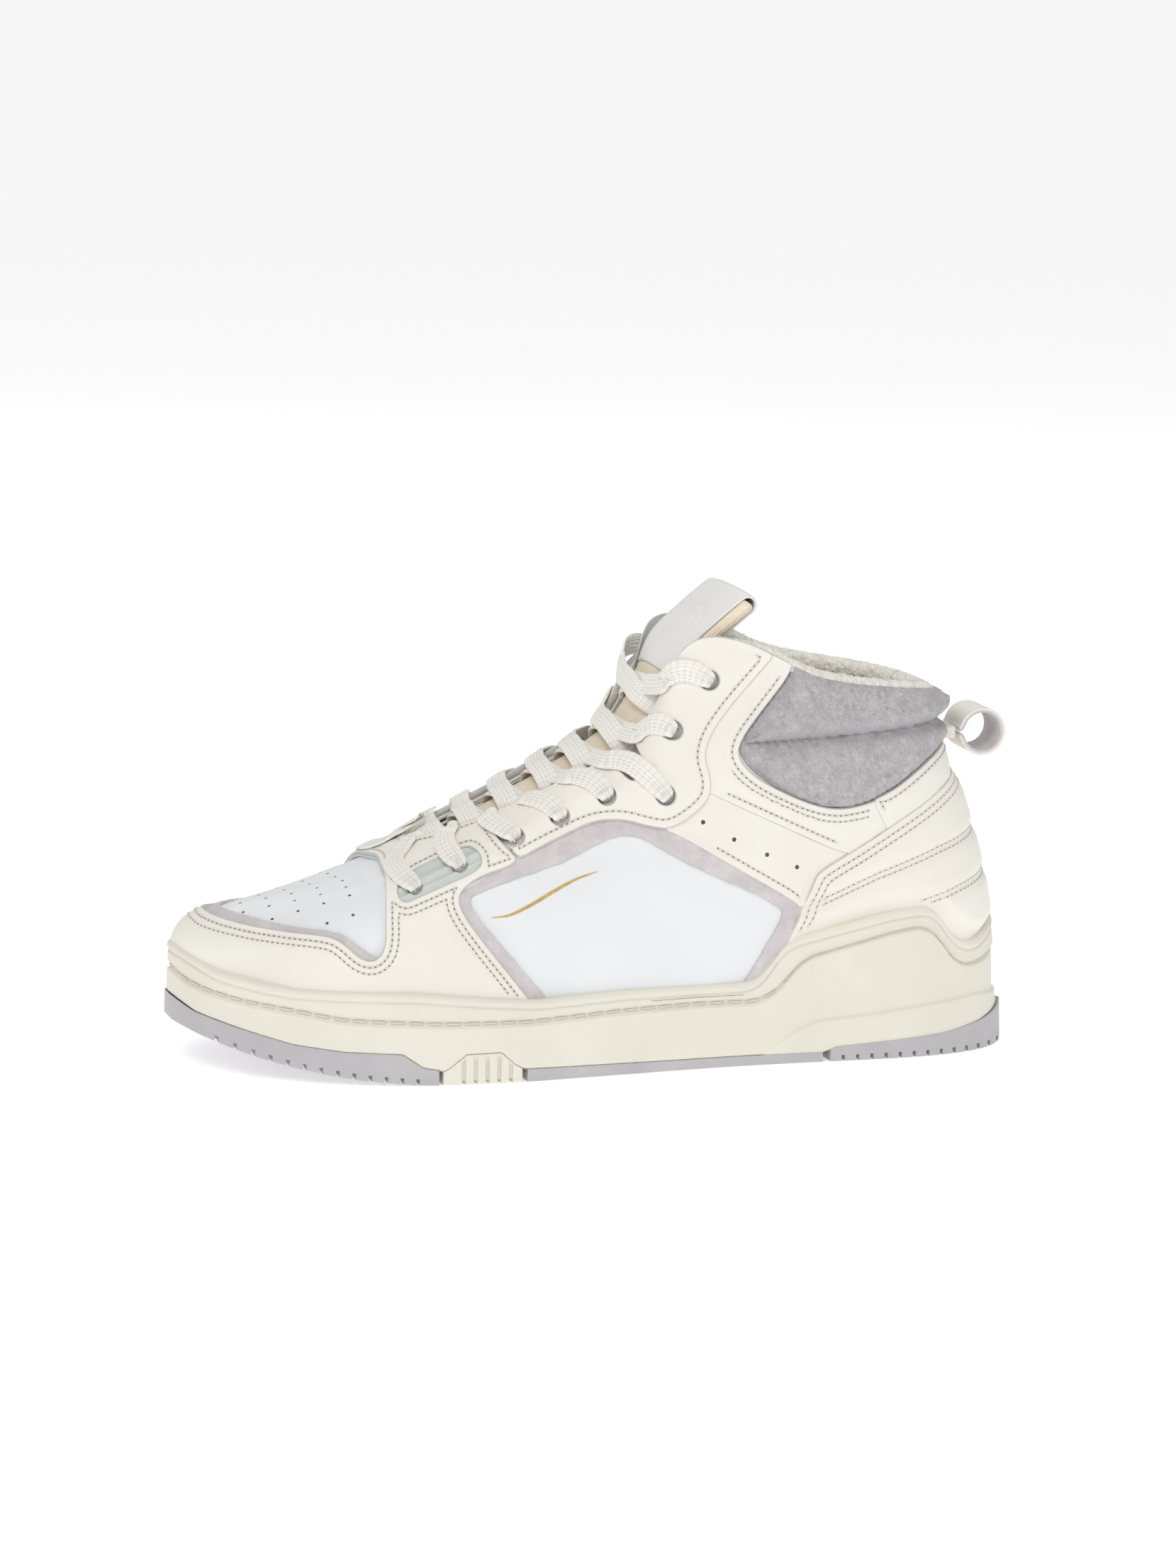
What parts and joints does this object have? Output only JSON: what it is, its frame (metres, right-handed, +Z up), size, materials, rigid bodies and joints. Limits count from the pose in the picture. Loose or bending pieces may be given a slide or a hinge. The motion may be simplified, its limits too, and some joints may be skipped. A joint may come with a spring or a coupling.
{
  "type": "high top basketball shoe",
  "caption": "Mid-cut leather basketball shoe for the left foot, cupsole, padded felt collar, laced throat with a hinged tongue, heel pull loop and lift-out insole.",
  "frame": {"origin": "on the ground under the middle of the sole, at the outsole's flat face", "axes": "+X from toe to heel, +Y to the inner (medial) side, +Z up"},
  "size_m": [0.302, 0.1025, 0.1632],
  "materials": {
    "rubber_grey": "matte, fine weave-like grain",
    "rubber_cream": "matte, fine grain",
    "foam": "open-cell foam",
    "board": "stiff fibre sheet",
    "insole_cloth": "woven top cloth on foam",
    "tongue_textile": "woven, matte",
    "terry": "looped pile",
    "label_leather": "smooth, satin",
    "leather_cream": "smooth, satin",
    "leather_white": "smooth, satin",
    "suede_grey": "raw suede",
    "lace": "flat braid",
    "tpu_grey": "moulded, satin",
    "stiffener": "thermoformed sheet",
    "lining_cloth": "knit lining",
    "felt_grey": "brushed wool felt"
  },
  "bodies": {
    "shoe": {"outsole_toe": "rubber_grey", "outsole_heel": "rubber_grey", "outsole_midfoot": "rubber_grey", "outsole_pivot_block": "rubber_cream", "midsole_cup": "rubber_cream", "midsole_foam_wedge": "foam", "lasting_board": "board", "pull_loop_tab": "leather_cream", "shoelace": "lace", "vamp": "leather_white", "quarter_lateral": "leather_white", "quarter_medial": "leather_white", "mudguard": "leather_cream", "mudguard_trim": "suede_grey", "lace_insert_lateral": "tpu_grey", "lace_insert_medial": "tpu_grey", "window_trim_lateral": "suede_grey", "window_trim_medial": "suede_grey", "eyestay_lateral": "leather_cream", "eyestay_medial": "leather_cream", "side_panel_lateral": "leather_cream", "side_panel_medial": "leather_cream", "collar_panel_lateral": "leather_cream", "collar_panel_medial": "leather_cream", "heel_collar_band": "leather_cream", "heel_overlay": "leather_cream", "toe_puff": "stiffener", "heel_counter": "stiffener", "eyelet_tape_lateral": "board", "eyelet_tape_medial": "board", "vamp_lining": "lining_cloth", "quarter_lining_lateral": "lining_cloth", "quarter_lining_medial": "lining_cloth", "collar_lining": "terry", "collar_foam": "foam", "collar_pad_lower": "felt_grey", "collar_pad_upper": "felt_grey"},
    "tongue": {"tongue_cover": "tongue_textile", "tongue_foam": "foam", "tongue_lining": "terry", "tongue_label": "label_leather"},
    "pull_loop": {"pull_loop": "leather_cream"},
    "insole": {"insole": "insole_cloth"}
  },
  "joints": [
    {"name": "tongue_tilt", "type": "hinge", "parent": "shoe", "child": "tongue", "pos_m": [-0.076, 0, 0.063], "axis": [0, 1, 0], "range_deg": [0, 6], "stiffness_Nm_per_rad": 3, "springref_deg": -1.72},
    {"name": "pull_loop_flex", "type": "hinge", "parent": "shoe", "child": "pull_loop", "pos_m": [0.1315, 0, 0.111], "axis": [0, 1, 0], "range_deg": [-30, 30], "stiffness_Nm_per_rad": 0.05},
    {"name": "insole_lift", "type": "hinge", "parent": "shoe", "child": "insole", "pos_m": [-0.138, 0, 0.0195], "axis": [0, -1, 0], "range_deg": [0, 6]}
  ]
}
